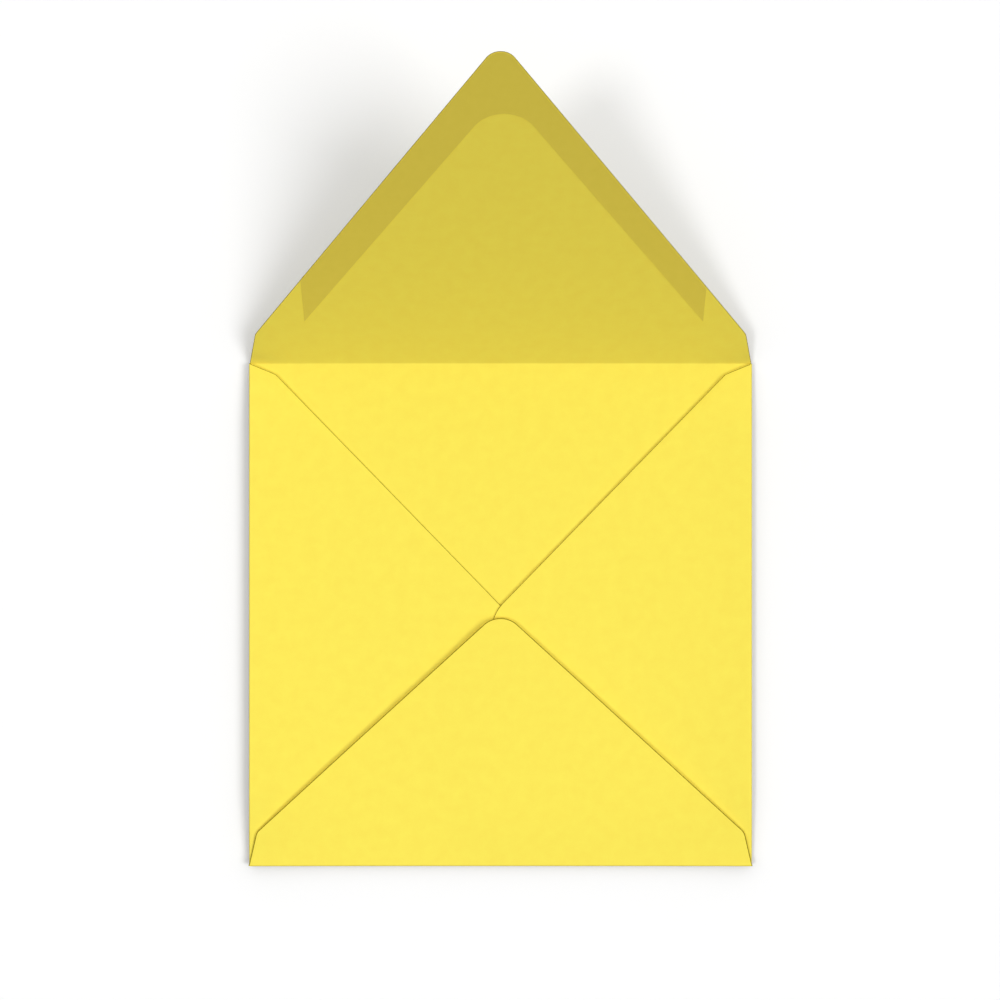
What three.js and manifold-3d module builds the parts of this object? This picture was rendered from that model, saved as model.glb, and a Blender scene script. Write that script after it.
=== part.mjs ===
// A square envelope with a pointed closure flap, folded from one sheet of paper and lying on its front panel.
// Sizes are in millimetres. X runs across the envelope, Y from the bottom fold up to the closure fold, Z up.
// The origin is the centre of the front panel's outer face.

import * as THREE from "three";
import { mergeVertices } from "three/addons/utils/BufferGeometryUtils.js";
import Module from "manifold-3d";

// The folded body, from fold to fold, and the paper's thickness
const BODY_WIDTH = 155;
const BODY_HEIGHT = 155;
const PAPER = 0.2;

// Air between the front panel and the left side flap, and between each flap and the next one above it
const POCKET_GAP = 1.8;
const LAYER_GAP = 0.2;

// Side flaps: the shoulders are measured from the fold and its ends, the point from the body's centre
const SIDE_SHOULDER_REACH = 8.2;
const SIDE_SHOULDER_INSET = 3;
const SIDE_SHOULDER_RADIUS = 2;
const SIDE_POINT_PAST_CENTRE = 8.5;
const SIDE_POINT_BELOW_CENTRE = 5.8;
const SIDE_POINT_RADIUS = 12.3;

// Bottom flap, folded up over both side flaps
const BOTTOM_SHOULDER_REACH = 10.7;
const BOTTOM_SHOULDER_INSET = 2.6;
const BOTTOM_SHOULDER_RADIUS = 3.5;
const BOTTOM_POINT_PAST_CENTRE = 1.5;
const BOTTOM_POINT_RADIUS = 7.7;

// Closure flap, open and standing up from its crease
const CLOSURE_TURN = THREE.MathUtils.degToRad(47);
const CLOSURE_CREASE_RADIUS = 0.3;
const CLOSURE_SHOULDER_REACH = 12.2;
const CLOSURE_SHOULDER_INSET = 2.9;
const CLOSURE_SHOULDER_RADIUS = 5;
const CLOSURE_POINT_PAST_CENTRE = 39.7;
const CLOSURE_POINT_RADIUS = 4.75;

// The closure and bottom folds stop this far short of the body's sides
const FOLD_END_INSET = 0.1;

// At each corner a slit parts the ends of the two folds, and each flap's root overlaps the panel a little.
// The lower ends of the side folds run on inside the bottom fold, this far clear of its paper.
const CORNER_SLIT = 0.15;
const ROOT_OVERLAP = 0.1;
const FOLD_END_CLEARANCE = 0.15;

// Dried gum on the closure flap's inner face, a chevron printed slightly off centre. Its width is the one at
// the point, and its inner edges open wider than the flap's edges by the flare.
const GUM_THICKNESS = 0.05;
const GUM_CLEARANCE = 0.02;
const GUM_WIDTH = 9.55;
const GUM_FLARE = THREE.MathUtils.degToRad(0.45);
const GUM_EDGE_MARGIN = 0.3;
const GUM_HALF_SPAN = 60.3;
const GUM_INNER_RADIUS = 10.2;
const GUM_OFF_CENTRE = 0.95;

// Facets: the largest turn of one facet in a fold, half the facets of an outline's arc, and those of a full round
const BEND_STEP = THREE.MathUtils.degToRad(15);
const ARC_HALF_STEPS = 6;
const ROUND_STEPS = 32;

// Spare length past a fold or an outline, so that no two faces of a cut lie in one plane
const CUT_MARGIN = 4;

// Inner radii of the three tight folds, which set the height of each layer
const LEFT_FOLD_RADIUS = POCKET_GAP / 2;
const RIGHT_FOLD_RADIUS = LEFT_FOLD_RADIUS + (PAPER + LAYER_GAP) / 2;
const BOTTOM_FOLD_RADIUS = RIGHT_FOLD_RADIUS + (PAPER + LAYER_GAP) / 2;

// Places of the folds: where the front panel stops being flat
const PANEL_LEFT = -BODY_WIDTH / 2 + LEFT_FOLD_RADIUS + PAPER;
const PANEL_RIGHT = BODY_WIDTH / 2 - RIGHT_FOLD_RADIUS - PAPER;
const PANEL_BOTTOM = -BODY_HEIGHT / 2 + BOTTOM_FOLD_RADIUS + PAPER;
const PANEL_TOP = BODY_HEIGHT / 2 - CLOSURE_CREASE_RADIUS * Math.tan(CLOSURE_TURN / 2);

const wasm = await Module();
wasm.setup();

// A closed geometry as a solid that can be joined and cut
function solidOf(geometry) {
  const bare = geometry.clone();
  bare.deleteAttribute("normal");
  bare.deleteAttribute("uv");
  const merged = mergeVertices(bare);
  const vertProperties = merged.getAttribute("position").array;
  const triVerts = new Uint32Array(merged.index.array);
  return new wasm.Manifold(new wasm.Mesh({ numProp: 3, vertProperties, triVerts }));
}

// A solid back as a geometry
function geometryOf(solid) {
  const mesh = solid.getMesh();
  const geometry = new THREE.BufferGeometry();
  geometry.setAttribute("position", new THREE.BufferAttribute(mesh.vertProperties, 3));
  geometry.setIndex(new THREE.BufferAttribute(mesh.triVerts, 1));
  geometry.computeVertexNormals();
  return geometry;
}

// A closed outline through corners [x, y, radius], each corner rounded by an arc of its radius, if it has one.
// The first two corners are sharp.
function roundedShape(corners) {
  const shape = new THREE.Shape();
  corners.forEach(([x, y, radius], i) => {
    const corner = new THREE.Vector2(x, y);
    if (!radius) {
      if (i === 0) shape.moveTo(x, y);
      else shape.lineTo(x, y);
      return;
    }
    const before = new THREE.Vector2(...corners[i - 1]).sub(corner).normalize();
    const after = new THREE.Vector2(...corners[(i + 1) % corners.length]).sub(corner).normalize();
    const half = before.angleTo(after) / 2;
    const bisector = before.clone().add(after).normalize();
    const centre = corner.clone().addScaledVector(bisector, radius / Math.sin(half));
    const start = corner.clone().addScaledVector(before, radius / Math.tan(half)).sub(centre);
    const end = corner.clone().addScaledVector(after, radius / Math.tan(half)).sub(centre);
    const clockwise = before.cross(after) > 0;
    shape.absarc(centre.x, centre.y, radius, start.angle(), end.angle(), clockwise);
  });
  return shape;
}

// Side view of a fold: the panel's root arrives along +X, bends up through turn and runs on as the flap
function foldProfile(innerRadius, turn, flapLength) {
  const outerRadius = innerRadius + PAPER;
  const run = new THREE.Vector2(Math.cos(turn), Math.sin(turn)).multiplyScalar(flapLength);
  const outward = new THREE.Vector2(Math.sin(turn), -Math.cos(turn));
  const centre = new THREE.Vector2(0, outerRadius);
  const outerTip = centre.clone().addScaledVector(outward, outerRadius).add(run);
  const innerTip = centre.clone().addScaledVector(outward, innerRadius).add(run);
  const down = -Math.PI / 2;
  const shape = new THREE.Shape();
  shape.moveTo(outerTip.x, outerTip.y);
  shape.lineTo(innerTip.x, innerTip.y);
  shape.absarc(centre.x, centre.y, innerRadius, down + turn, down, true);
  shape.lineTo(-ROOT_OVERLAP, PAPER);
  shape.lineTo(-ROOT_OVERLAP, 0);
  shape.absarc(centre.x, centre.y, outerRadius, down, down + turn, false);
  return shape;
}

// A flap's flat outline, X across it and Y along it from its fold: two shoulders and a rounded point
function flapOutline(flap) {
  const { low, high, shoulderReach, shoulderInset, shoulderRadius } = flap;
  return roundedShape([
    [low, -CUT_MARGIN],
    [high, -CUT_MARGIN],
    [high, 0],
    [high - shoulderInset, shoulderReach, shoulderRadius],
    [flap.pointAcross, flap.pointReach, flap.pointRadius],
    [low + shoulderInset, shoulderReach, shoulderRadius],
    [low, 0],
  ]);
}

// The flap's own frame: origin on its fold line, X across it, Y along it, Z out of its inner face
function flapFrame(flap) {
  const tilt = new THREE.Matrix4().makeRotationX(flap.turn);
  const place = new THREE.Matrix4().makeTranslation(0, flap.foldLine, flap.foldHeight);
  return new THREE.Matrix4().makeRotationZ(flap.side).multiply(place).multiply(tilt);
}

// One flap with its fold: the bent strip, cut to the flap's outline
function foldedFlap(flap) {
  const profile = foldProfile(flap.foldRadius, flap.turn, flap.pointReach);
  const length = flap.high - flap.low + 2 * CUT_MARGIN;
  const curveSegments = Math.ceil(flap.turn / BEND_STEP / 2);
  const strip = new THREE.ExtrudeGeometry(profile, { depth: length, bevelEnabled: false, curveSegments });
  const upright = new THREE.Matrix4().makeBasis(
    new THREE.Vector3(0, 1, 0),
    new THREE.Vector3(0, 0, 1),
    new THREE.Vector3(1, 0, 0),
  );
  strip.applyMatrix4(upright);
  strip.translate(flap.low - CUT_MARGIN, flap.panelEdge, 0);
  strip.rotateZ(flap.side);
  const depth = 2 * CUT_MARGIN;
  const cutter = new THREE.ExtrudeGeometry(flapOutline(flap), {
    depth,
    bevelEnabled: false,
    curveSegments: ARC_HALF_STEPS,
  });
  cutter.translate(0, 0, -CUT_MARGIN);
  cutter.applyMatrix4(flapFrame(flap));
  return solidOf(strip).intersect(solidOf(cutter));
}

// The side folds end at a slit below the closure crease. At the panel they end at a slit above the bottom fold
// too, and higher up they run on into it.
const SIDE_FOLD_TOP = PANEL_TOP - ROOT_OVERLAP - CORNER_SLIT;
const SIDE_ROOT_BOTTOM = PANEL_BOTTOM + ROOT_OVERLAP + CORNER_SLIT;
const SIDE_FOLD_BOTTOM = PANEL_BOTTOM - BOTTOM_FOLD_RADIUS + FOLD_END_CLEARANCE;

const sideFlap = {
  turn: Math.PI,
  foldLine: BODY_WIDTH / 2,
  foldHeight: 0,
  shoulderReach: SIDE_SHOULDER_REACH,
  shoulderInset: SIDE_SHOULDER_INSET,
  shoulderRadius: SIDE_SHOULDER_RADIUS,
  pointReach: BODY_WIDTH / 2 + SIDE_POINT_PAST_CENTRE,
  pointRadius: SIDE_POINT_RADIUS,
};

const leftFlap = {
  ...sideFlap,
  side: Math.PI / 2,
  foldRadius: LEFT_FOLD_RADIUS,
  panelEdge: -PANEL_LEFT,
  low: SIDE_FOLD_BOTTOM,
  high: SIDE_FOLD_TOP,
  pointAcross: -SIDE_POINT_BELOW_CENTRE,
};

const rightFlap = {
  ...sideFlap,
  side: -Math.PI / 2,
  foldRadius: RIGHT_FOLD_RADIUS,
  panelEdge: PANEL_RIGHT,
  low: -SIDE_FOLD_TOP,
  high: -SIDE_FOLD_BOTTOM,
  pointAcross: SIDE_POINT_BELOW_CENTRE,
};

const bottomFlap = {
  side: Math.PI,
  turn: Math.PI,
  foldRadius: BOTTOM_FOLD_RADIUS,
  foldLine: BODY_HEIGHT / 2,
  foldHeight: 0,
  panelEdge: -PANEL_BOTTOM,
  low: -BODY_WIDTH / 2 + FOLD_END_INSET,
  high: BODY_WIDTH / 2 - FOLD_END_INSET,
  shoulderReach: BOTTOM_SHOULDER_REACH,
  shoulderInset: BOTTOM_SHOULDER_INSET,
  shoulderRadius: BOTTOM_SHOULDER_RADIUS,
  pointAcross: 0,
  pointReach: BODY_HEIGHT / 2 + BOTTOM_POINT_PAST_CENTRE,
  pointRadius: BOTTOM_POINT_RADIUS,
};

const closureFlap = {
  side: 0,
  turn: CLOSURE_TURN,
  foldRadius: CLOSURE_CREASE_RADIUS,
  foldLine: BODY_HEIGHT / 2,
  foldHeight: PAPER,
  panelEdge: PANEL_TOP,
  low: -BODY_WIDTH / 2 + FOLD_END_INSET,
  high: BODY_WIDTH / 2 - FOLD_END_INSET,
  shoulderReach: CLOSURE_SHOULDER_REACH,
  shoulderInset: CLOSURE_SHOULDER_INSET,
  shoulderRadius: CLOSURE_SHOULDER_RADIUS,
  pointAcross: 0,
  pointReach: BODY_HEIGHT / 2 + CLOSURE_POINT_PAST_CENTRE,
  pointRadius: CLOSURE_POINT_RADIUS,
};

// The flat front panel, between the starts of the four folds
function frontPanel() {
  const width = PANEL_RIGHT - PANEL_LEFT;
  const height = PANEL_TOP - PANEL_BOTTOM;
  const panel = new THREE.BoxGeometry(width, height, PAPER);
  panel.translate((PANEL_LEFT + PANEL_RIGHT) / 2, (PANEL_BOTTOM + PANEL_TOP) / 2, PAPER / 2);
  return solidOf(panel);
}

// Where the side flaps may be: above the bottom fold's root and, off the panel, inside the fold's curve
function sideFlapRoom() {
  const length = BODY_WIDTH + 2 * CUT_MARGIN;
  const above = new THREE.BoxGeometry(length, BODY_HEIGHT, 2 * CUT_MARGIN);
  above.translate(0, SIDE_ROOT_BOTTOM + BODY_HEIGHT / 2, 0);
  const radius = BOTTOM_FOLD_RADIUS - FOLD_END_CLEARANCE;
  const inside = new THREE.CylinderGeometry(radius, radius, length, ROUND_STEPS);
  inside.rotateZ(Math.PI / 2);
  inside.translate(0, PANEL_BOTTOM, BOTTOM_FOLD_RADIUS + PAPER);
  return solidOf(above).add(solidOf(inside));
}

// The whole folded sheet, one piece of paper
function envelopeSheet() {
  const room = sideFlapRoom();
  const sideFlaps = [leftFlap, rightFlap].map((flap) => foldedFlap(flap).intersect(room));
  const otherFlaps = [bottomFlap, closureFlap].map(foldedFlap);
  const sheet = [...sideFlaps, ...otherFlaps].reduce((joined, flap) => joined.add(flap), frontPanel());
  const paper = new THREE.MeshStandardMaterial({ color: 0xfde957, roughness: 0.9, metalness: 0 });
  const mesh = new THREE.Mesh(geometryOf(sheet), paper);
  mesh.name = "envelope_sheet";
  return mesh;
}

// The gum's outline in the closure flap's frame: two arms along the flap's straight edges, with square-cut ends
function gumOutline() {
  const { pointReach, pointRadius, shoulderReach, shoulderInset, high } = closureFlap;
  const halfPoint = Math.atan2(high - shoulderInset, pointReach - shoulderReach);
  const outerPoint = pointReach - GUM_EDGE_MARGIN / Math.sin(halfPoint);
  const innerPoint = pointReach - GUM_WIDTH / Math.sin(halfPoint);
  const left = GUM_OFF_CENTRE - GUM_HALF_SPAN;
  const right = GUM_OFF_CENTRE + GUM_HALF_SPAN;
  const outerAt = (x) => outerPoint - Math.abs(x) / Math.tan(halfPoint);
  const innerEnd = innerPoint - GUM_HALF_SPAN / Math.tan(halfPoint + GUM_FLARE);
  return roundedShape([
    [right, innerEnd],
    [right, outerAt(right)],
    [0, outerPoint, pointRadius - GUM_EDGE_MARGIN],
    [left, outerAt(left)],
    [left, innerEnd],
    [GUM_OFF_CENTRE, innerPoint, GUM_INNER_RADIUS],
  ]);
}

// The film of dried gum, lying on the closure flap's inner face
function gumStrip() {
  const film = new THREE.ExtrudeGeometry(gumOutline(), {
    depth: GUM_THICKNESS,
    bevelEnabled: false,
    curveSegments: ARC_HALF_STEPS,
  });
  const gum = new THREE.MeshStandardMaterial({ color: 0xe3d04e, roughness: 0.55, metalness: 0 });
  const mesh = new THREE.Mesh(film, gum);
  mesh.name = "gum_strip";
  mesh.position.z = GUM_CLEARANCE;
  return mesh;
}

const closureGroup = new THREE.Group();
closureGroup.applyMatrix4(flapFrame(closureFlap));
closureGroup.add(gumStrip());

const envelope = new THREE.Group();
envelope.add(envelopeSheet(), closureGroup);

export default envelope;
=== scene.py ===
"""A square paper envelope that lies open on a white table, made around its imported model.

The envelope is one die-cut sheet of dyed paper, folded on four sides, with dried gum on the inner face
of its open flap. Sizes are in millimetres, and meshes are scaled to metres as they are made. X runs
across the envelope, Y from the bottom fold up to the closure crease, and Z up from the table.
"""

import logging
import math
from collections.abc import Callable
from dataclasses import dataclass, field, replace
from enum import Enum
from itertools import pairwise

import bmesh
import bpy
from mathutils import Matrix, Vector


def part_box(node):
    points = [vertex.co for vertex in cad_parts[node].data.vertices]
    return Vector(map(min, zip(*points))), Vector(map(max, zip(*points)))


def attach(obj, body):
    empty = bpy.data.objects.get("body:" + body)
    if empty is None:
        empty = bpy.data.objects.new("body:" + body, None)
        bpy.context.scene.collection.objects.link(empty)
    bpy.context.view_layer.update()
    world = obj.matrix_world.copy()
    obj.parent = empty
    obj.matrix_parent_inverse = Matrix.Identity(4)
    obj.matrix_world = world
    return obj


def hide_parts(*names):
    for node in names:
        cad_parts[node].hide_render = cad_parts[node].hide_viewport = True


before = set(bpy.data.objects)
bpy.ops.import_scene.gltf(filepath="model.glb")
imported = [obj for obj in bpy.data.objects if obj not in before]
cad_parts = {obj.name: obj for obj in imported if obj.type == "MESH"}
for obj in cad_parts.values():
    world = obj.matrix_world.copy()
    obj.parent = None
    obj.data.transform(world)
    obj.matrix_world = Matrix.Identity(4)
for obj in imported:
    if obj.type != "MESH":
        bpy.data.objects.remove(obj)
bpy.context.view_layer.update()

LOG = logging.getLogger("square_envelope")
MM = 0.001
BODY = "root"

# The sheet's flat pattern, kept on the mesh as a UV map in metres, so that its grain follows the folds
FLAT_MAP = "flat_sheet"

# Points closer than this are one point, and edges that turn by more than this are crisp
WELD_DISTANCE = 0.0005
SHARP_EDGE = math.radians(40)

# A colour mix's sockets for colours, which share their names with its other sockets
MIX_FIRST = 6
MIX_SECOND = 7
MIX_RESULT = 2

# One row of a grid: its points, each with its place on the flat pattern
Row = list[tuple[Vector, tuple[float, float]]]


def linear_rgba(code: str) -> tuple[float, float, float, float]:
    """Turns an sRGB hex colour to linear light, by the standard's own curve.

    Args:
        code: the colour, such as "#FDE957".

    Returns:
        Red, green, blue and an alpha of 1.
    """
    levels = [int(code[i:i + 2], 16) / 255 for i in (1, 3, 5)]
    linear = [v / 12.92 if v <= 0.04045 else ((v + 0.055) / 1.055) ** 2.4 for v in levels]
    return (*linear, 1.0)


def add_node(tree: bpy.types.NodeTree, kind: str, settings: dict | None = None,
             inputs: dict | None = None) -> bpy.types.Node:
    """Adds one node to a tree, with its settings and links.

    Args:
        tree: the node tree.
        kind: the node's type name.
        settings: the node's own properties, by name.
        inputs: socket name or number to a value, or to the output socket that feeds it.

    Returns:
        The new node.
    """
    node = tree.nodes.new(kind)
    for name, value in (settings or {}).items():
        setattr(node, name, value)
    for socket, value in (inputs or {}).items():
        if isinstance(value, bpy.types.NodeSocket):
            tree.links.new(value, node.inputs[socket])
        else:
            node.inputs[socket].default_value = value
    return node


def seen_directly(tree: bpy.types.NodeTree) -> bpy.types.NodeSocket:
    """Tells the rays that look at a thing from those that gather light from it.

    Args:
        tree: the node tree to add the nodes to.

    Returns:
        A socket that is 1 for rays from the camera, a reflection or a pane, and 0 for the rest.
    """
    path = add_node(tree, "ShaderNodeLightPath")
    direct = add_node(tree, "ShaderNodeMath", {"operation": "ADD"}, {
        0: path.outputs["Is Camera Ray"], 1: path.outputs["Is Glossy Ray"]})
    seen = add_node(tree, "ShaderNodeMath", {"operation": "ADD", "use_clamp": True}, {
        0: direct.outputs[0], 1: path.outputs["Is Transmission Ray"]})
    return seen.outputs[0]


def per_metre(size_mm: float) -> float:
    """A noise scale, in features to the metre, for features of a real size."""
    return 1 / (size_mm * MM)


def smooth_step(share: float) -> float:
    """Eases from 0 to 1 as the share does, and stays there outside that range."""
    share = min(max(share, 0.0), 1.0)
    return share * share * (3 - 2 * share)


def span(start: Vector, end: Vector, steps: int) -> list[Vector]:
    """Points from start towards end in equal steps, without the end itself."""
    return [start.lerp(end, i / steps) for i in range(steps)]


def edges_between(low: float, high: float, step: float) -> list[float]:
    """Places from low to high, both included, in equal steps no longer than the one asked for."""
    count = math.ceil((high - low) / step)
    return [low + (high - low) * i / count for i in range(count + 1)]


def fillet(before: Vector, corner: Vector, after: Vector, radius: float, steps: int) -> list[Vector]:
    """Rounds one corner of a flat outline.

    Args:
        before: a point on the line that arrives at the corner.
        corner: the sharp corner.
        after: a point on the line that leaves it.
        radius: the arc's radius.
        steps: how many chords the arc has.

    Returns:
        The arc's points, from the arriving line to the leaving one.
    """
    back = (before - corner).normalized()
    ahead = (after - corner).normalized()
    half = back.angle(ahead) / 2
    centre = corner + (back + ahead).normalized() * (radius / math.sin(half))
    start = corner + back * (radius / math.tan(half)) - centre
    end = corner + ahead * (radius / math.tan(half)) - centre
    sweep = math.atan2(start.cross(end), start.dot(end))
    return [centre + Matrix.Rotation(sweep * i / steps, 2) @ start for i in range(steps + 1)]


class Side(Enum):
    """The front panel's four edges, each with the turn about Z of its flap's frame."""

    TOP = 0.0
    LEFT = math.pi / 2
    BOTTOM = math.pi
    RIGHT = -math.pi / 2

    def to_world(self, across: float, outward: float) -> tuple[float, float]:
        """World X and Y of a point given across the flap and outward from the envelope's centre."""
        cos, sin = round(math.cos(self.value)), round(math.sin(self.value))
        return across * cos - outward * sin, across * sin + outward * cos


def thicken(mesh: bmesh.types.BMesh, flat: bmesh.types.BMLayerItem, below: float, above: float) -> None:
    """Makes a surface a closed solid, whose rim is two strips of faces with material index 1.

    Args:
        mesh: the surface, with its normals up to date.
        flat: the vertex layer of the places on the flat pattern, with the rim's burr as third number.
        below: how far the solid reaches against the faces' normals, in mm.
        above: how far it reaches along them, in mm.
    """
    rim = [edge.link_loops[0] for edge in mesh.edges if edge.is_boundary]
    rim = [(loop.vert, loop.link_loop_next.vert, loop.face.normal.copy()) for loop in rim]
    outward: dict[bmesh.types.BMVert, Vector] = {}
    for start, end, normal in rim:
        across = (end.co - start.co).cross(normal).normalized()
        for vert in (start, end):
            outward[vert] = outward.get(vert, Vector()) + across
    middle: dict[bmesh.types.BMVert, bmesh.types.BMVert] = {}
    for vert, across in outward.items():
        place = vert.co + vert.normal * (above - below) / 2
        middle[vert] = mesh.verts.new(place + across.normalized() * vert[flat].z)
    under = {v: mesh.verts.new(v.co - v.normal * below) for v in list(mesh.verts) if v.link_faces}
    for vert, copy in (*middle.items(), *under.items()):
        copy[flat] = vert[flat]
    for vert in under:
        vert.co += vert.normal * above
    for face in list(mesh.faces):
        mesh.faces.new([under[v] for v in reversed(face.verts)])
    for start, end, _ in rim:
        upper_strip = mesh.faces.new([end, start, middle[start], middle[end]])
        lower_strip = mesh.faces.new([middle[end], middle[start], under[start], under[end]])
        upper_strip.material_index = lower_strip.material_index = 1


@dataclass
class Skin:
    """A thin surface in the making.

    Attributes:
        points: its points, in mm.
        flat: their places on the flat pattern.
        burrs: how far a cut edge stands out at each point.
        faces: its faces, as numbers of four points.
    """

    points: list[Vector] = field(default_factory=list)
    flat: list[tuple[float, float]] = field(default_factory=list)
    burrs: list[float] = field(default_factory=list)
    faces: list[tuple[int, int, int, int]] = field(default_factory=list)

    def add_grid(self, rows: list[Row], burr: float = 0.0) -> None:
        """Adds a grid of faces.

        Args:
            rows: rows of equal length.
            burr: how far the cut edge's middle stands out past the sheet's two faces, in mm.
        """
        first = len(self.points)
        width = len(rows[0])
        for row in rows:
            for point, flat in row:
                self.points.append(point)
                self.flat.append(flat)
                self.burrs.append(burr)
        for r in range(len(rows) - 1):
            for c in range(width - 1):
                corner = first + r * width + c
                self.faces.append((corner, corner + 1, corner + width + 1, corner + width))

    def to_object(self, name: str, below: float, above: float) -> bpy.types.Object:
        """Gives the surface a thickness and makes it an object.

        Args:
            name: the object's name.
            below: how far the finished solid reaches against the faces' normals, in mm.
            above: how far it reaches along them, in mm.

        Returns:
            The object, a closed mesh in metres.
        """
        mesh = bmesh.new()
        flat_layer = mesh.verts.layers.float_vector.new("flat")
        for point, flat, burr in zip(self.points, self.flat, self.burrs):
            mesh.verts.new(point)[flat_layer] = (*flat, burr)
        mesh.verts.ensure_lookup_table()
        for face in self.faces:
            mesh.faces.new([mesh.verts[i] for i in face])
        bmesh.ops.remove_doubles(mesh, verts=mesh.verts, dist=WELD_DISTANCE)
        bmesh.ops.dissolve_degenerate(mesh, edges=mesh.edges, dist=WELD_DISTANCE)
        mesh.normal_update()
        thicken(mesh, flat_layer, below, above)
        uv = mesh.loops.layers.uv.new(FLAT_MAP)
        for face in mesh.faces:
            face.smooth = True
            for loop in face.loops:
                loop[uv].uv = Vector(loop.vert[flat_layer][:2]) * MM
        mesh.verts.layers.float_vector.remove(flat_layer)
        bmesh.ops.scale(mesh, vec=(MM, MM, MM), verts=mesh.verts)
        data = bpy.data.meshes.new(name)
        mesh.to_mesh(data)
        mesh.free()
        data.set_sharp_from_angle(angle=SHARP_EDGE)
        piece = bpy.data.objects.new(name, data)
        bpy.context.scene.collection.objects.link(piece)
        return piece


@dataclass(frozen=True)
class Lay:
    """How the folded flaps lie: each leaves its fold at the fold's height and settles on what is below.

    Attributes:
        paper: the paper's thickness.
        side_spring: how far from a side fold its flap still feels the fold.
        bottom_spring: the same for the bottom fold.
        spring_power: how sharply that ends.
        left_clearance: air under the left flap, at the envelope's middle.
        right_clearance: air between the side flaps there.
        bottom_clearance: air under the bottom flap.
        side_squeeze: the share of that air that is gone beside a side fold.
        step_start: where the bottom flap starts to climb from the left flap to the right one.
        step_end: where it is over the right one.
        pinch: the share of their height that the side flaps lose at the bottom fold, which holds them.
        ripple_height: height of each of the paper's two slow waves.
        ripple_length: length of the wave that runs across.
        ripple_slant: how far that wave's crests lean.
        cross_pitch: how many waves run up the sheet for each one across.
        cross_slant: how far those lean.
        cross_phase: where those start, as an angle.
        lift_height: how far the side creases' spring raises the envelope off the table beside them.
        lift_width: how far in from a side fold the envelope comes down to the table.
        crease_run: how far from the closure's crease the envelope takes to rise in full.
        crease_lift: the share of the lift that the crease's ends have.
        bottom_run: how far from the bottom fold the envelope takes to rise in full.
        bottom_lift: the share of the lift that the bottom fold's ends have.
        flap_run: how far up the raised flap the crease's lift fades out.
        lift_margin: the strip along those two folds that keeps the same lift.
        narrowing: the share of its size that the bowed envelope loses for each mm of lift.
    """

    paper: float
    side_spring: float = 11.0
    bottom_spring: float = 8.0
    spring_power: float = 1.6
    left_clearance: float = 0.35
    right_clearance: float = 0.4
    bottom_clearance: float = 1.8
    side_squeeze: float = 0.55
    step_start: float = -22.0
    step_end: float = -2.0
    pinch: float = 0.25
    ripple_height: float = 0.05
    ripple_length: float = 47.0
    ripple_slant: float = 0.4
    cross_pitch: float = 0.7
    cross_slant: float = 0.6
    cross_phase: float = 1.3
    lift_height: float = 2.9
    lift_width: float = 50.0
    crease_run: float = 20.0
    crease_lift: float = 0.6
    bottom_run: float = 24.0
    bottom_lift: float = 0.4
    flap_run: float = 45.0
    lift_margin: float = 1.0
    narrowing: float = 0.0016

    def spring(self, distance: float, reach: float) -> float:
        """How much of its fold's height a flap still has at this distance from the fold."""
        return math.exp(-(max(distance, 0.0) / reach) ** self.spring_power)

    def ripple(self, x: float, y: float) -> float:
        """Height of the paper's slow waves, the same for every layer.

        Args:
            x: world X of the point.
            y: world Y of the point.

        Returns:
            The height above or below the paper's mean.
        """
        wave = 2 * math.pi / self.ripple_length
        across = math.sin(wave * (x + self.ripple_slant * y))
        up = math.sin(wave * self.cross_pitch * (y - self.cross_slant * x) + self.cross_phase)
        return self.ripple_height * (across + up)

    def lifted(self, point: Vector, half: float, share: float = 1.0) -> Vector:
        """Moves a point of the flat-lying envelope to where the side creases' spring takes it.

        Args:
            point: the point with the envelope flat on the table.
            half: half the envelope's width.
            share: the share of the lift that is left there.

        Returns:
            The point of the bowed envelope.
        """
        across = max(abs(point.x) - half + self.lift_width, 0.0) / self.lift_width
        level = half - self.lift_margin
        from_crease = smooth_step((level - point.y) / self.crease_run)
        from_bottom = smooth_step((level + point.y) / self.bottom_run)
        lift = share * self.lift_height * across ** 2
        lift *= self.crease_lift + (1 - self.crease_lift) * from_crease
        lift *= self.bottom_lift + (1 - self.bottom_lift) * from_bottom
        shrink = 1 - self.narrowing * lift
        return Vector((point.x * shrink, point.y * shrink, point.z + lift))

    def pinched(self, height: float, from_bottom: float) -> float:
        """Height of a side flap's point, given without the bottom fold, once that fold holds it down."""
        panel = self.paper / 2
        return panel + (height - panel) * (1 - self.pinch * self.spring(from_bottom, self.bottom_spring))

    def height(self, side: Side, x: float, y: float, half: float, fold_top: dict[Side, float]) -> float:
        """Height of a folded flap's middle surface.

        Args:
            side: the flap's side of the envelope.
            x: world X of the point.
            y: world Y of the point.
            half: half the envelope's width.
            fold_top: each flap's own height at the end of its fold.

        Returns:
            The height above the table.
        """
        left_rest = self.paper / 2 + self.paper + self.left_clearance
        right_rest = left_rest + self.paper + self.right_clearance
        left_spring = self.spring(half + x, self.side_spring)
        right_spring = self.spring(half - x, self.side_spring)
        bottom_spring = self.spring(half + y, self.bottom_spring)
        left = left_rest + (fold_top[Side.LEFT] - left_rest) * left_spring
        right = right_rest + (fold_top[Side.RIGHT] - right_rest) * right_spring
        wave = self.ripple(x, y) * (1 - left_spring) * (1 - right_spring) * (1 - bottom_spring)
        if side is Side.LEFT:
            return self.pinched(left, half + y) + wave
        if side is Side.RIGHT:
            return self.pinched(right, half + y) + wave
        over_right = smooth_step((x - self.step_start) / (self.step_end - self.step_start))
        under = self.pinched(left + (right - left) * over_right, half + y)
        squeeze = 1 - self.side_squeeze * max(left_spring, right_spring)
        rest = under + self.paper + self.bottom_clearance * squeeze
        return rest + (fold_top[side] - rest) * bottom_spring + wave


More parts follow.
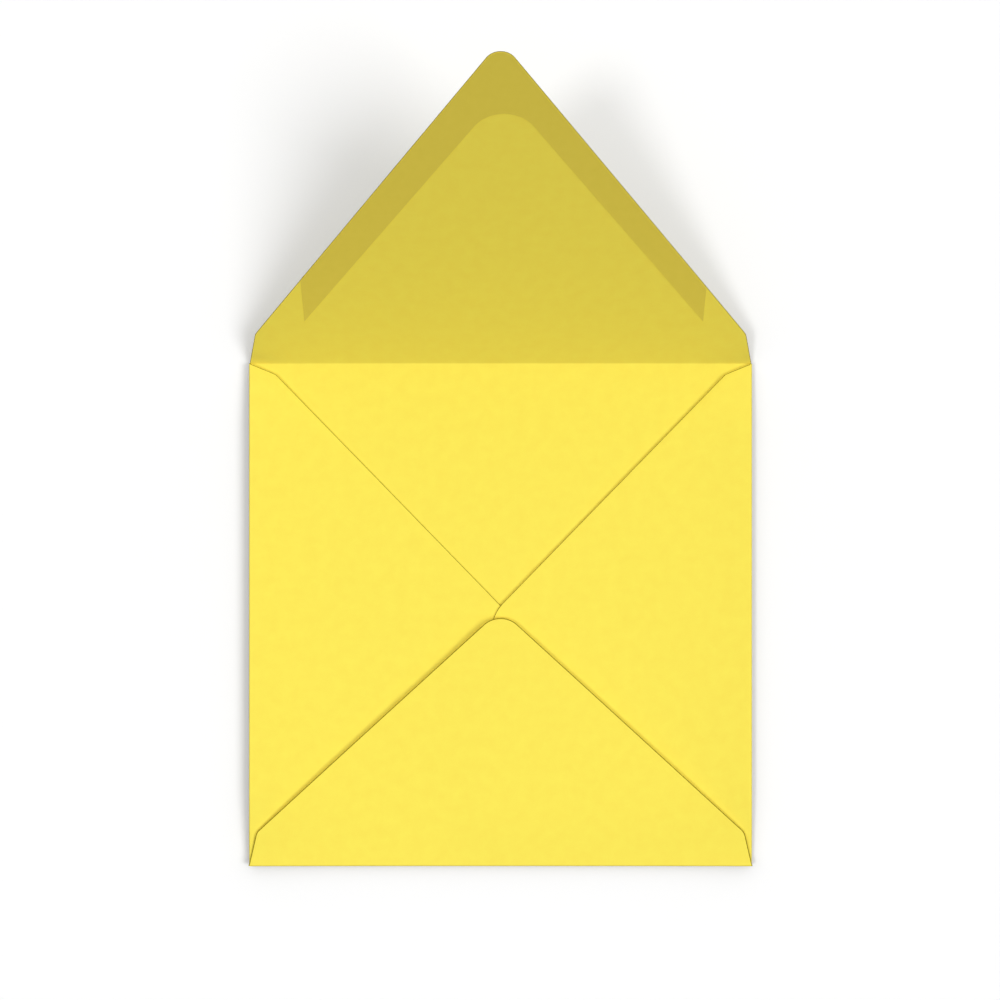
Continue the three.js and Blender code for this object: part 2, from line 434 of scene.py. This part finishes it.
@dataclass(frozen=True)
class FlapCut:
    """The cut of one flap: two rounded shoulders and a rounded point.

    Attributes:
        shoulder_reach: distance of the shoulders from the fold line.
        shoulder_inset: how much nearer to the middle a shoulder is than the fold's end.
        shoulder_radius: radius of the shoulders.
        point_reach: distance from the fold line to where the straight edges would meet.
        point_radius: radius of the point.
        point_across: the point's place across the flap.
        burr: how far the cut edge's middle stands out past the paper's faces, wider where it turns up.
    """

    shoulder_reach: float
    shoulder_inset: float
    shoulder_radius: float
    point_reach: float
    point_radius: float
    point_across: float = 0.0
    burr: float = 0.15


@dataclass(frozen=True)
class TightFold:
    """Section of a fold that lies back over the panel: a flattened loop, squarer than a half circle.

    Attributes:
        height: the fold's height, outside the paper.
        depth: how far the loop's curve reaches in from its outermost line, along the paper's middle.
        squareness: the power of the loop's curve, 2 for an ellipse.
    """

    height: float
    depth: float = 0.5
    squareness: float = 3.2

    def section(self, paper: float, steps: int) -> list[tuple[float, float]]:
        """The loop of the paper's middle surface.

        Args:
            paper: the paper's thickness.
            steps: how many chords the loop has.

        Returns:
            Distances past the loop's start and heights, from the panel to the flap.
        """
        points = []
        for i in range(steps + 1):
            angle = math.pi * i / steps
            out = self.depth * max(math.sin(angle), 0.0) ** (2 / self.squareness)
            fall = math.copysign(abs(math.cos(angle)) ** (2 / self.squareness), math.cos(angle))
            points.append((out, paper / 2 + (self.height - paper) / 2 * (1 - fall)))
        return points

    def room_inside(self, height: float, paper: float, clearance: float) -> float:
        """How far past the loop's start another layer may reach inside it.

        Args:
            height: that layer's height above the table.
            paper: the paper's thickness.
            clearance: the air to keep between the layers.

        Returns:
            The distance past the loop's start.
        """
        depth = self.depth - paper / 2 - clearance
        half_height = self.height / 2 - paper - clearance
        share = min(abs(height - self.height / 2) / half_height, 1.0)
        return depth * (1 - share ** self.squareness) ** (1 / self.squareness)


@dataclass(frozen=True)
class RaisedCrease:
    """Section of the crease that a raised flap stands up from.

    Attributes:
        turn: how far the flap is bent up from the panel.
        radius: radius of the crease's inner face.
    """

    turn: float
    radius: float = 0.3

    @property
    def tangent(self) -> float:
        """Distance from the fold line to either end of the bend, on the inner face."""
        return self.radius * math.tan(self.turn / 2)

    def section(self, paper: float, steps: int) -> list[tuple[float, float]]:
        """The bend of the paper's middle surface.

        Args:
            paper: the paper's thickness.
            steps: how many chords the bend has.

        Returns:
            Distances past the bend's start and heights, from the panel to the flap.
        """
        middle = self.radius + paper / 2
        angles = [self.turn * i / steps for i in range(steps + 1)]
        return [(middle * math.sin(a), self.radius + paper - middle * math.cos(a)) for a in angles]


@dataclass
class Flap:
    """One flap with its fold. Its frame has X across the flap and Y outward from the envelope's centre.

    Attributes:
        side: the panel's edge that it hangs on.
        cut: its cut outline.
        fold: the section of its fold.
        half_body: half the envelope's width.
        paper: the paper's thickness.
        ends: the fold's low and high end across the flap, at a height above the table.
        lay: how the folded flaps lie.
        bend_steps: chords in the fold's section.
        arc_steps: chords in a shoulder's arc.
        tip_steps: chords in the point's arc, an even number.
        step: the longest step along the cut's straight edges.
    """

    side: Side
    cut: FlapCut
    fold: TightFold | RaisedCrease
    half_body: float
    paper: float
    ends: Callable[[float], tuple[float, float]]
    lay: Lay
    bend_steps: int = 18
    arc_steps: int = 10
    tip_steps: int = 40
    step: float = 3.0

    @property
    def folded_flat(self) -> bool:
        """Whether the flap lies back over the panel."""
        return isinstance(self.fold, TightFold)

    @property
    def bend_start(self) -> float:
        """Distance from the envelope's centre to the fold's start on the panel."""
        if self.folded_flat:
            return self.half_body - self.bend_end
        return self.half_body - self.fold.tangent

    @property
    def bend_end(self) -> float:
        """Distance along the flap from its fold line to the end of the bend."""
        if self.folded_flat:
            return self.fold.depth + self.paper / 2
        return self.fold.tangent

    @property
    def top_height(self) -> float:
        """Height of the middle surface where the bend ends."""
        return self.fold.section(self.paper, self.bend_steps)[-1][1]

    @property
    def root(self) -> tuple[float, float]:
        """The fold's low and high end at the panel."""
        return self.ends(self.paper / 2)

    @property
    def tail(self) -> tuple[float, float]:
        """The fold's low and high end where the bend ends, from which the cut outline starts."""
        return self.ends(self.top_height)

    def edge_chains(self) -> tuple[list[Vector], list[Vector]]:
        """The cut edges beyond the bend.

        Returns:
            The low and the high edge, with as many points each, from the bend's end to the tip.
        """
        cut = self.cut
        low, high = self.tail
        tip = Vector((cut.point_across, cut.point_reach))
        low_shoulder = Vector((low + cut.shoulder_inset, cut.shoulder_reach))
        high_shoulder = Vector((high - cut.shoulder_inset, cut.shoulder_reach))
        bevel = self.bend_end / cut.shoulder_reach
        low_root = Vector((low, 0)).lerp(low_shoulder, bevel)
        high_root = Vector((high, 0)).lerp(high_shoulder, bevel)
        low_arc = fillet(low_root, low_shoulder, tip, cut.shoulder_radius, self.arc_steps)
        high_arc = fillet(high_root, high_shoulder, tip, cut.shoulder_radius, self.arc_steps)
        tip_arc = fillet(low_shoulder, tip, high_shoulder, cut.point_radius, self.tip_steps)
        middle = self.tip_steps // 2
        bevel_steps = math.ceil(cut.shoulder_reach / self.step)
        side_steps = math.ceil((tip - low_shoulder).length / self.step)
        low_edge = span(low_root, low_arc[0], bevel_steps) + low_arc[:-1]
        low_edge += span(low_arc[-1], tip_arc[0], side_steps) + tip_arc[:middle + 1]
        high_edge = span(high_root, high_arc[0], bevel_steps) + high_arc[:-1]
        high_edge += span(high_arc[-1], tip_arc[-1], side_steps) + tip_arc[:middle - 1:-1]
        return low_edge, high_edge

    def on_raised_flap(self, across: float, along: float, above: float = 0.0) -> Vector:
        """World place of a point of the raised flap, beyond its bend.

        Args:
            across: the place across the flap.
            along: the distance from the fold line.
            above: the distance from the middle surface, towards the inner face.

        Returns:
            The point.
        """
        cos, sin = math.cos(self.fold.turn), math.sin(self.fold.turn)
        bend_out, bend_height = self.fold.section(self.paper, self.bend_steps)[-1]
        run = along - self.bend_end
        x, y = self.side.to_world(across, self.bend_start + bend_out + run * cos - above * sin)
        point = Vector((x, y, bend_height + run * sin + above * cos))
        return self.lay.lifted(point, self.half_body, 1 - smooth_step(run / self.lay.flap_run))

    def bend_row(self, shares: list[float], out: float, height: float, length: float) -> Row:
        """One row of the bend.

        Args:
            shares: the points' places along the fold, from 0 to 1.
            out: the row's distance past the bend's start.
            height: its height above the table.
            length: the length of paper from the bend's start to it.

        Returns:
            The row.
        """
        low, high = self.ends(height)
        row = []
        for share in shares:
            across = low + (high - low) * share
            x, y = self.side.to_world(across, self.bend_start + out)
            point = Vector((x, y, height))
            if self.side in (Side.LEFT, Side.RIGHT):
                point.z = self.lay.pinched(height, self.half_body + y)
            point = self.lay.lifted(point, self.half_body)
            row.append((point, self.side.to_world(across, self.bend_start + length)))
        return row

    def place(self, flat: Vector, fold_top: dict[Side, float]) -> Vector:
        """World place of a point of the flap, beyond its bend.

        Args:
            flat: the point's place across the flap and along it from the fold line.
            fold_top: each flap's height at the end of its fold.

        Returns:
            The point.
        """
        if not self.folded_flat:
            return self.on_raised_flap(flat.x, flat.y)
        x, y = self.side.to_world(flat.x, self.half_body - flat.y)
        point = Vector((x, y, self.lay.height(self.side, x, y, self.half_body, fold_top)))
        return self.lay.lifted(point, self.half_body)

    def rows(self, columns: list[float], fold_top: dict[Side, float]) -> list[Row]:
        """The flap's grid, from the panel's edge round the bend to the tip.

        Args:
            columns: places across the flap at its root, where it joins the panel.
            fold_top: each flap's height at the end of its fold.

        Returns:
            The grid's rows.
        """
        root_low, root_high = self.root
        shares = [(c - root_low) / (root_high - root_low) for c in columns]
        rows = []
        length = 0.0
        for near, far in pairwise(self.fold.section(self.paper, self.bend_steps)):
            rows.append(self.bend_row(shares, *near, length))
            length += math.dist(far, near)
        past_bend = self.bend_start + length - self.bend_end
        for low_point, high_point in zip(*self.edge_chains()):
            flats = [low_point.lerp(high_point, share) for share in shares]
            rows.append([(self.place(flat, fold_top), self.side.to_world(flat.x, past_bend + flat.y))
                         for flat in flats])
        return rows


@dataclass(frozen=True)
class Finish:
    """A finish of one material, whose shader each kind of finish builds in its own way."""

    name: str

    def make(self) -> bpy.types.Material:
        """Builds the material.

        Returns:
            The material, with its nodes.
        """
        material = bpy.data.materials.new(self.name)
        material.use_nodes = True
        tree = material.node_tree
        tree.nodes.clear()
        add_node(tree, "ShaderNodeOutputMaterial", None, {"Surface": self.shader(tree)})
        return material

    def shader(self, tree: bpy.types.NodeTree) -> bpy.types.NodeSocket:
        """Adds the finish's own nodes to a tree and returns their shader."""
        raise NotImplementedError


@dataclass(frozen=True)
class DyedPaper(Finish):
    """Uncoated paper, dyed through: matt, with faint clouds and short fibres felted every way.

    Real fibres are about 0.03 mm wide, too fine to show, so they are drawn 0.14 mm wide.

    Attributes:
        light: its colour where the pulp lies thick.
        dark: its colour where it lies thin.
        cloud_size: size of the clouds, as pulp settles on the wire.
        tooth_size: size of the surface's tooth.
        tooth_depth: depth of that tooth and of the fibres.
        tooth_strength: the share of that depth that shows in the shade.
        fibre_width: width of the drawn fibres.
        fibre_length: their length.
        fibre_angles: the directions that they lie in, in degrees.
        felt_share: how much the felt adds to the clouds' shade.
        darkest: the shade at which the colour is darkest.
        lightest: the shade at which it is lightest.
    """

    name: str = "dyed_uncoated_paper"
    light: str = "#FEEC5B"
    dark: str = "#FCE758"
    roughness: float = 0.92
    ior: float = 1.5
    specular_level: float = 0.1
    cloud_size: float = 4.0
    tooth_size: float = 0.35
    tooth_depth: float = 0.018
    tooth_strength: float = 0.5
    fibre_width: float = 0.14
    fibre_length: float = 1.5
    fibre_angles: tuple[float, ...] = (-52.0, 14.0, 71.0)
    felt_share: float = 0.45
    darkest: float = 0.55
    lightest: float = 1.0

    def shader(self, tree: bpy.types.NodeTree) -> bpy.types.NodeSocket:
        """Builds clouds, tooth and fibres on the flat pattern, so that they follow the folds.

        Args:
            tree: the material's node tree.

        Returns:
            The paper's shader.
        """
        sheet = add_node(tree, "ShaderNodeUVMap", {"uv_map": FLAT_MAP}).outputs["UV"]
        cloud = add_node(tree, "ShaderNodeTexNoise", None, {
            "Vector": sheet, "Scale": per_metre(self.cloud_size), "Detail": 3.0, "Roughness": 0.55})
        tooth = add_node(tree, "ShaderNodeTexNoise", None, {
            "Vector": sheet, "Scale": per_metre(self.tooth_size), "Detail": 2.0, "Roughness": 0.6})
        # A fibre is a spot of noise stretched along its direction
        felt = tooth.outputs["Fac"]
        for angle in self.fibre_angles:
            turned = add_node(tree, "ShaderNodeMapping", {"vector_type": "POINT"}, {
                "Vector": sheet,
                "Rotation": (0, 0, math.radians(angle)),
                "Scale": (per_metre(self.fibre_length), per_metre(self.fibre_width), 1)})
            strand = add_node(tree, "ShaderNodeTexNoise", None, {
                "Vector": turned.outputs["Vector"], "Scale": 1.0, "Detail": 1.0, "Distortion": 0.35})
            felt = add_node(tree, "ShaderNodeMath", {"operation": "MAXIMUM"}, {
                0: felt, 1: strand.outputs["Fac"]}).outputs[0]
        shade = add_node(tree, "ShaderNodeMath", {"operation": "MULTIPLY_ADD"}, {
            0: felt, 1: self.felt_share, 2: cloud.outputs["Fac"]})
        mix = add_node(tree, "ShaderNodeMapRange", None, {
            "Value": shade.outputs[0], "From Min": self.darkest, "From Max": self.lightest})
        colour = add_node(tree, "ShaderNodeMix", {"data_type": "RGBA"}, {
            "Factor": mix.outputs[0],
            MIX_FIRST: linear_rgba(self.dark), MIX_SECOND: linear_rgba(self.light)})
        bump = add_node(tree, "ShaderNodeBump", None, {
            "Strength": self.tooth_strength, "Distance": self.tooth_depth * MM, "Height": felt})
        surface = add_node(tree, "ShaderNodeBsdfPrincipled", None, {
            "Base Color": colour.outputs[MIX_RESULT], "Roughness": self.roughness, "IOR": self.ior,
            "Specular IOR Level": self.specular_level, "Normal": bump.outputs[0]})
        return surface.outputs[0]


@dataclass(frozen=True)
class CutEdgePaintedShade(Finish):
    """Die-cut edge of the paper: a cut edge of dyed paper is somewhat darker of itself, but this colour
    is far darker still, painted shade that draws the thin dark line of shade along each flap's edge.

    Attributes:
        light: the lighter colour of that painted shade.
        dark: its darker colour.
        grain_size: size of the random spots between the two.
    """

    name: str = "die_cut_edge_painted_shade"
    light: str = "#A8941A"
    dark: str = "#716309"
    roughness: float = 1.0
    specular_level: float = 0.0
    grain_size: float = 0.5

    def shader(self, tree: bpy.types.NodeTree) -> bpy.types.NodeSocket:
        """Builds the edge's painted shade, lighter and darker in random spots.

        Args:
            tree: the material's node tree.

        Returns:
            The cut edge's shader.
        """
        sheet = add_node(tree, "ShaderNodeUVMap", {"uv_map": FLAT_MAP}).outputs["UV"]
        grain = add_node(tree, "ShaderNodeTexNoise", None, {
            "Vector": sheet, "Scale": per_metre(self.grain_size), "Detail": 2.0})
        colour = add_node(tree, "ShaderNodeMix", {"data_type": "RGBA"}, {
            "Factor": grain.outputs["Fac"],
            MIX_FIRST: linear_rgba(self.dark), MIX_SECOND: linear_rgba(self.light)})
        surface = add_node(tree, "ShaderNodeBsdfPrincipled", None, {
            "Base Color": colour.outputs[MIX_RESULT], "Roughness": self.roughness,
            "Specular IOR Level": self.specular_level})
        return surface.outputs[0]


@dataclass(frozen=True)
class DriedGum(Finish):
    """Remoistenable gum, rolled on and dried over the paper: a darker, smoother film with a soft sheen.

    Attributes:
        light: its colour where it pooled.
        dark: its colour between the pools.
        pool_size: size of the pools.
        grain_size: size of the dried film's grain.
        grain_share: how much the grain adds to the pools' relief.
        pool_depth: depth of that relief.
        relief_strength: the share of that depth that shows in the shade.
    """

    name: str = "dried_remoistenable_gum"
    light: str = "#EAD553"
    dark: str = "#E5D04E"
    roughness: float = 0.5
    ior: float = 1.47
    specular_level: float = 0.25
    pool_size: float = 2.6
    grain_size: float = 0.4
    grain_share: float = 0.4
    pool_depth: float = 0.012
    relief_strength: float = 0.4

    def shader(self, tree: bpy.types.NodeTree) -> bpy.types.NodeSocket:
        """Builds the pools that the roller left and the dried film's grain.

        Args:
            tree: the material's node tree.

        Returns:
            The gum's shader.
        """
        sheet = add_node(tree, "ShaderNodeUVMap", {"uv_map": FLAT_MAP}).outputs["UV"]
        pools = add_node(tree, "ShaderNodeTexNoise", None, {
            "Vector": sheet, "Scale": per_metre(self.pool_size), "Detail": 3.0, "Roughness": 0.5})
        grain = add_node(tree, "ShaderNodeTexNoise", None, {
            "Vector": sheet, "Scale": per_metre(self.grain_size), "Detail": 2.0})
        relief = add_node(tree, "ShaderNodeMath", {"operation": "MULTIPLY_ADD"}, {
            0: grain.outputs["Fac"], 1: self.grain_share, 2: pools.outputs["Fac"]})
        colour = add_node(tree, "ShaderNodeMix", {"data_type": "RGBA"}, {
            "Factor": pools.outputs["Fac"],
            MIX_FIRST: linear_rgba(self.dark), MIX_SECOND: linear_rgba(self.light)})
        bump = add_node(tree, "ShaderNodeBump", None, {
            "Strength": self.relief_strength, "Distance": self.pool_depth * MM,
            "Height": relief.outputs[0]})
        surface = add_node(tree, "ShaderNodeBsdfPrincipled", None, {
            "Base Color": colour.outputs[MIX_RESULT], "Roughness": self.roughness, "IOR": self.ior,
            "Specular IOR Level": self.specular_level, "Normal": bump.outputs[0]})
        return surface.outputs[0]


@dataclass(frozen=True)
class WhiteTable(Finish):
    """Matt white laminate, a soft ground that keeps the envelope's shadows.

    Attributes:
        seen: its colour to the camera and to reflections.
        lit: its colour to the light that it throws back under the flaps.
    """

    name: str = "matt_white_laminate"
    seen: str = "#FFFFFF"
    lit: str = "#50504E"
    roughness: float = 0.0

    def shader(self, tree: bpy.types.NodeTree) -> bpy.types.NodeSocket:
        """Builds a matt surface with its two colours.

        Args:
            tree: the material's node tree.

        Returns:
            The table's shader.
        """
        colour = add_node(tree, "ShaderNodeMix", {"data_type": "RGBA"}, {
            "Factor": seen_directly(tree),
            MIX_FIRST: linear_rgba(self.lit), MIX_SECOND: linear_rgba(self.seen)})
        surface = add_node(tree, "ShaderNodeBsdfDiffuse", None, {
            "Color": colour.outputs[MIX_RESULT], "Roughness": self.roughness})
        return surface.outputs[0]


@dataclass
class FoldedSheet:
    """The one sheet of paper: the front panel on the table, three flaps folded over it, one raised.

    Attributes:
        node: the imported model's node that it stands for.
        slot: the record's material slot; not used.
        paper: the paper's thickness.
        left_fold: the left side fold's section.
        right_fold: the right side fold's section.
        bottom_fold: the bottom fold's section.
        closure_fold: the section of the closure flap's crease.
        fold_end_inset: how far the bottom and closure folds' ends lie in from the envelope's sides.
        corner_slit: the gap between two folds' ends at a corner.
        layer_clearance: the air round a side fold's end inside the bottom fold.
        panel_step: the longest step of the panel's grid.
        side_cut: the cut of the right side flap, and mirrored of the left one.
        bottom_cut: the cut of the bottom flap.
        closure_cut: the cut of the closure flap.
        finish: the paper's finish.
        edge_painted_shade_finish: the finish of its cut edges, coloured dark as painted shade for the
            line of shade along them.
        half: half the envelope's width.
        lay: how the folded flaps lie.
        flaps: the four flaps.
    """

    node: str = "envelope_sheet"
    slot: str = "paper"
    paper: float = 0.2
    left_fold: TightFold = TightFold(height=2.5)
    right_fold: TightFold = TightFold(height=2.0)
    bottom_fold: TightFold = TightFold(height=2.5)
    closure_fold: RaisedCrease = RaisedCrease(turn=math.radians(47))
    fold_end_inset: float = 0.2
    corner_slit: float = 0.1
    layer_clearance: float = 0.25
    panel_step: float = 3.0
    side_cut: FlapCut = FlapCut(
        shoulder_reach=8.12, shoulder_inset=3.33, shoulder_radius=2.0,
        point_reach=85.58, point_radius=12.15, point_across=5.8)
    bottom_cut: FlapCut = FlapCut(
        shoulder_reach=10.6, shoulder_inset=2.5, shoulder_radius=3.4,
        point_reach=78.85, point_radius=7.45, burr=0.25)
    closure_cut: FlapCut = FlapCut(
        shoulder_reach=12.15, shoulder_inset=2.72, shoulder_radius=4.85,
        point_reach=117.1, point_radius=4.6)
    finish: DyedPaper = DyedPaper()
    # The cut edges' colour is painted shade, far darker than dyed paper's own edge, for the line of
    # shade along each flap's edge
    edge_painted_shade_finish: CutEdgePaintedShade = CutEdgePaintedShade()
    half: float = field(init=False)
    lay: Lay = field(init=False)
    flaps: dict[Side, Flap] = field(init=False)

    def __post_init__(self) -> None:
        """Reads the body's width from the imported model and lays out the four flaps."""
        low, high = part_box(self.node)
        self.half = (high.x - low.x) / MM / 2
        self.lay = Lay(self.paper)
        mirrored = replace(self.side_cut, point_across=-self.side_cut.point_across)
        plans = (
            (Side.LEFT, mirrored, self.left_fold, self.side_ends),
            (Side.RIGHT, self.side_cut, self.right_fold, self.mirrored_side_ends),
            (Side.BOTTOM, self.bottom_cut, self.bottom_fold, self.level_ends),
            (Side.TOP, self.closure_cut, self.closure_fold, self.level_ends),
        )
        self.flaps = {
            side: Flap(side, cut, fold, self.half, self.paper, ends, self.lay)
            for side, cut, fold, ends in plans
        }

    def level_ends(self, _height: float) -> tuple[float, float]:
        """Ends of the bottom and closure folds, the same at every height."""
        end = self.half - self.fold_end_inset
        return -end, end

    def side_ends(self, height: float) -> tuple[float, float]:
        """Lower and upper end of the left fold: off the panel it runs on inside the bottom fold.

        Args:
            height: the height above the table.

        Returns:
            World Y of the two ends.
        """
        upper = self.half - self.closure_fold.tangent - self.corner_slit
        panel_end = self.bottom_fold.depth + self.paper / 2 - self.half
        held = self.lay.pinched(height, 0.0)
        inside = self.bottom_fold.room_inside(held, self.paper, self.layer_clearance)
        return min(panel_end + self.corner_slit, panel_end - inside), upper

    def mirrored_side_ends(self, height: float) -> tuple[float, float]:
        """The same ends for the right fold, whose flap's frame is turned the other way."""
        lower, upper = self.side_ends(height)
        return -upper, -lower

    def build(self) -> bpy.types.Object:
        """Builds the whole sheet as one mesh.

        Returns:
            The sheet's object.
        """
        flaps = self.flaps
        xs = edges_between(-flaps[Side.LEFT].bend_start, flaps[Side.RIGHT].bend_start, self.panel_step)
        side_ys = edges_between(*flaps[Side.LEFT].root, self.panel_step)
        ys = [-flaps[Side.BOTTOM].bend_start, *side_ys, flaps[Side.TOP].bend_start]
        level = self.paper / 2
        panel = [[(self.lay.lifted(Vector((x, y, level)), self.half), (x, y)) for x in xs] for y in ys]
        skin = Skin()
        skin.add_grid(panel)
        bottom_low, bottom_high = flaps[Side.BOTTOM].root
        top_low, top_high = flaps[Side.TOP].root
        columns = {
            Side.LEFT: side_ys,
            Side.RIGHT: [-y for y in reversed(side_ys)],
            Side.BOTTOM: [bottom_low, *(-x for x in reversed(xs)), bottom_high],
            Side.TOP: [top_low, *xs, top_high],
        }
        fold_top = {side: flap.top_height for side, flap in flaps.items()}
        for side, flap in flaps.items():
            skin.add_grid(flap.rows(columns[side], fold_top), flap.cut.burr)
        return skin.to_object("folded_paper_sheet", self.paper / 2, self.paper / 2)

    def dress(self, piece: bpy.types.Object) -> None:
        """Gives the sheet its paper, its edges' painted shade and its place in the frame.

        Args:
            piece: the sheet's object.
        """
        piece.data.materials.append(self.finish.make())
        piece.data.materials.append(self.edge_painted_shade_finish.make())
        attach(piece, BODY)
        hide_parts(self.node)


@dataclass
class GumStrip:
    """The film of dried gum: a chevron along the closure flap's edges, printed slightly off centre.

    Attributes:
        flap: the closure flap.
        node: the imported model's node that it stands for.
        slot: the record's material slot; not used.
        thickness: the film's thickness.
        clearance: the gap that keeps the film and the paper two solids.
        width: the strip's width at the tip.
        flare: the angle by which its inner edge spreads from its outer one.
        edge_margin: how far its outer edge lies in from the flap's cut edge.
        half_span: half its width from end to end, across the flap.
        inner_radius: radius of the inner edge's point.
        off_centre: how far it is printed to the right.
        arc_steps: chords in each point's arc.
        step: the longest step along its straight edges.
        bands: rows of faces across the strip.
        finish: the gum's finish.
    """

    flap: Flap
    node: str = "gum_strip"
    slot: str = "dried_gum"
    thickness: float = 0.05
    clearance: float = 0.02
    width: float = 9.4
    flare: float = math.radians(0.45)
    edge_margin: float = 0.15
    half_span: float = 60.3
    inner_radius: float = 10.2
    off_centre: float = 0.95
    arc_steps: int = 24
    step: float = 2.0
    bands: int = 6
    finish: DriedGum = DriedGum()

    def edges(self) -> tuple[list[Vector], list[Vector]]:
        """The chevron's two long edges.

        Returns:
            The outer and the inner edge, with as many points each, from the left end to the right one.
        """
        cut = self.flap.cut
        half_width = self.flap.tail[1] - cut.shoulder_inset
        half_point = math.atan2(half_width, cut.point_reach - cut.shoulder_reach)
        outer_tip = Vector((0, cut.point_reach - self.edge_margin / math.sin(half_point)))
        inner_tip = Vector((self.off_centre, cut.point_reach - self.width / math.sin(half_point)))
        ends = (self.off_centre - self.half_span, self.off_centre + self.half_span)
        outer_ends = [Vector((x, outer_tip.y - abs(x) / math.tan(half_point))) for x in ends]
        inner_end = inner_tip.y - self.half_span / math.tan(half_point + self.flare)
        inner_ends = [Vector((x, inner_end)) for x in ends]
        steps = math.ceil((inner_tip - inner_ends[0]).length / self.step)
        chains = []
        for tip, (left, right), radius in (
            (outer_tip, outer_ends, cut.point_radius - self.edge_margin),
            (inner_tip, inner_ends, self.inner_radius),
        ):
            arc = fillet(left, tip, right, radius, self.arc_steps)
            chains.append([*span(left, arc[0], steps), *arc[:-1], *span(arc[-1], right, steps), right])
        return chains[0], chains[1]

    def build(self) -> bpy.types.Object:
        """Builds the film on the flap's inner face.

        Returns:
            The film's object.
        """
        outer, inner = self.edges()
        above = self.flap.paper / 2 + self.clearance
        rows = []
        for i in range(self.bands + 1):
            flats = [b.lerp(a, i / self.bands) for a, b in zip(outer, inner)]
            rows.append([(self.flap.on_raised_flap(flat.x, flat.y, above), (flat.x, flat.y))
                         for flat in flats])
        skin = Skin()
        skin.add_grid(rows)
        return skin.to_object("dried_gum_film", 0.0, self.thickness)

    def dress(self, piece: bpy.types.Object) -> None:
        """Gives the film and its rim their gum and their place in the frame.

        Args:
            piece: the film's object.
        """
        gum = self.finish.make()
        piece.data.materials.append(gum)
        piece.data.materials.append(gum)
        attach(piece, BODY)
        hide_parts(self.node)


@dataclass(frozen=True)
class Lamp:
    """A wide, soft lamp far away, given by where it stands and its share of the light on the table.

    Attributes:
        name: the lamp's name.
        lean: how far it stands to the right and up the table, for each unit of height.
        spread: half the width of the lamp as seen from the table, as an angle.
        share: its share of the light on the table.
    """

    name: str
    lean: tuple[float, float]
    spread: float
    share: float

    def build(self) -> None:
        """Makes the lamp, at the strength that lights a level white surface by its share."""
        towards = Vector((*self.lean, 1)).normalized()
        light = bpy.data.lights.new(self.name, "SUN")
        light.angle = 2 * self.spread
        light.energy = self.share * math.pi / towards.z
        lamp = bpy.data.objects.new(self.name, light)
        lamp.rotation_euler = towards.to_track_quat("Z", "Y").to_euler()
        bpy.context.scene.collection.objects.link(lamp)


@dataclass
class Studio:
    """A white table, soft lamps, a pale room and a camera that looks straight down.

    Attributes:
        table_size: the table's width, in metres.
        table: the table's finish.
        lamps: the lamps.
        room_share: the room's share of the light.
        lens: the camera's focal length.
        sensor: the width of its sensor.
        eye: the camera's place.
    """

    table_size: float = 6.0
    table: WhiteTable = WhiteTable()
    lamps: tuple[Lamp, ...] = (
        Lamp("ceiling_light", (0.0, 0.68), math.radians(63), 0.502),
        Lamp("right_lamp", (0.63, -0.16), math.radians(14), 0.294),
        Lamp("left_lamp", (-0.40, -0.14), math.radians(6), 0.19),
    )
    room_share: float = 0.02
    lens: float = 72.0
    sensor: float = 36.0
    eye: tuple[float, float, float] = (-0.17, 35.285, 618.0)

    def build_camera(self) -> None:
        """Makes the camera, level with the table and with +Y up in the picture."""
        data = bpy.data.cameras.new("camera_above")
        data.type = "PERSP"
        data.lens = self.lens
        data.sensor_width = self.sensor
        camera = bpy.data.objects.new("camera_above", data)
        camera.location = Vector(self.eye) * MM
        bpy.context.scene.collection.objects.link(camera)
        bpy.context.scene.camera = camera

    def build_table(self) -> None:
        """Makes the table's top, a wide square that the envelope lies on."""
        bpy.ops.mesh.primitive_plane_add(size=self.table_size)
        top = bpy.context.object
        top.name = "table_top"
        top.data.materials.append(self.table.make())

    def build_room(self) -> None:
        """Makes the room's pale light, which is plain white where the camera or a reflection sees it."""
        world = bpy.data.worlds.new("pale_room")
        world.use_nodes = True
        tree = world.node_tree
        tree.nodes.clear()
        strength = add_node(tree, "ShaderNodeMapRange", None, {
            "Value": seen_directly(tree), "To Min": self.room_share, "To Max": 1.0})
        background = add_node(tree, "ShaderNodeBackground", None, {
            "Color": (1, 1, 1, 1), "Strength": strength.outputs[0]})
        add_node(tree, "ShaderNodeOutputWorld", None, {"Surface": background.outputs[0]})
        bpy.context.scene.world = world

    def build(self) -> None:
        """Makes the camera, the table, the lamps and the room."""
        self.build_camera()
        self.build_table()
        for lamp in self.lamps:
            lamp.build()
        self.build_room()
        bpy.context.scene.view_settings.view_transform = "Standard"


def main() -> None:
    """Builds the studio and the envelope, piece by piece."""
    logging.basicConfig(level=logging.INFO, format="%(message)s")
    Studio().build()
    sheet = FoldedSheet()
    gum = GumStrip(sheet.flaps[Side.TOP])
    for maker in (sheet, gum):
        piece = maker.build()
        maker.dress(piece)
        LOG.info("%s: %d faces", piece.name, len(piece.data.polygons))


if __name__ == "__main__":
    main()
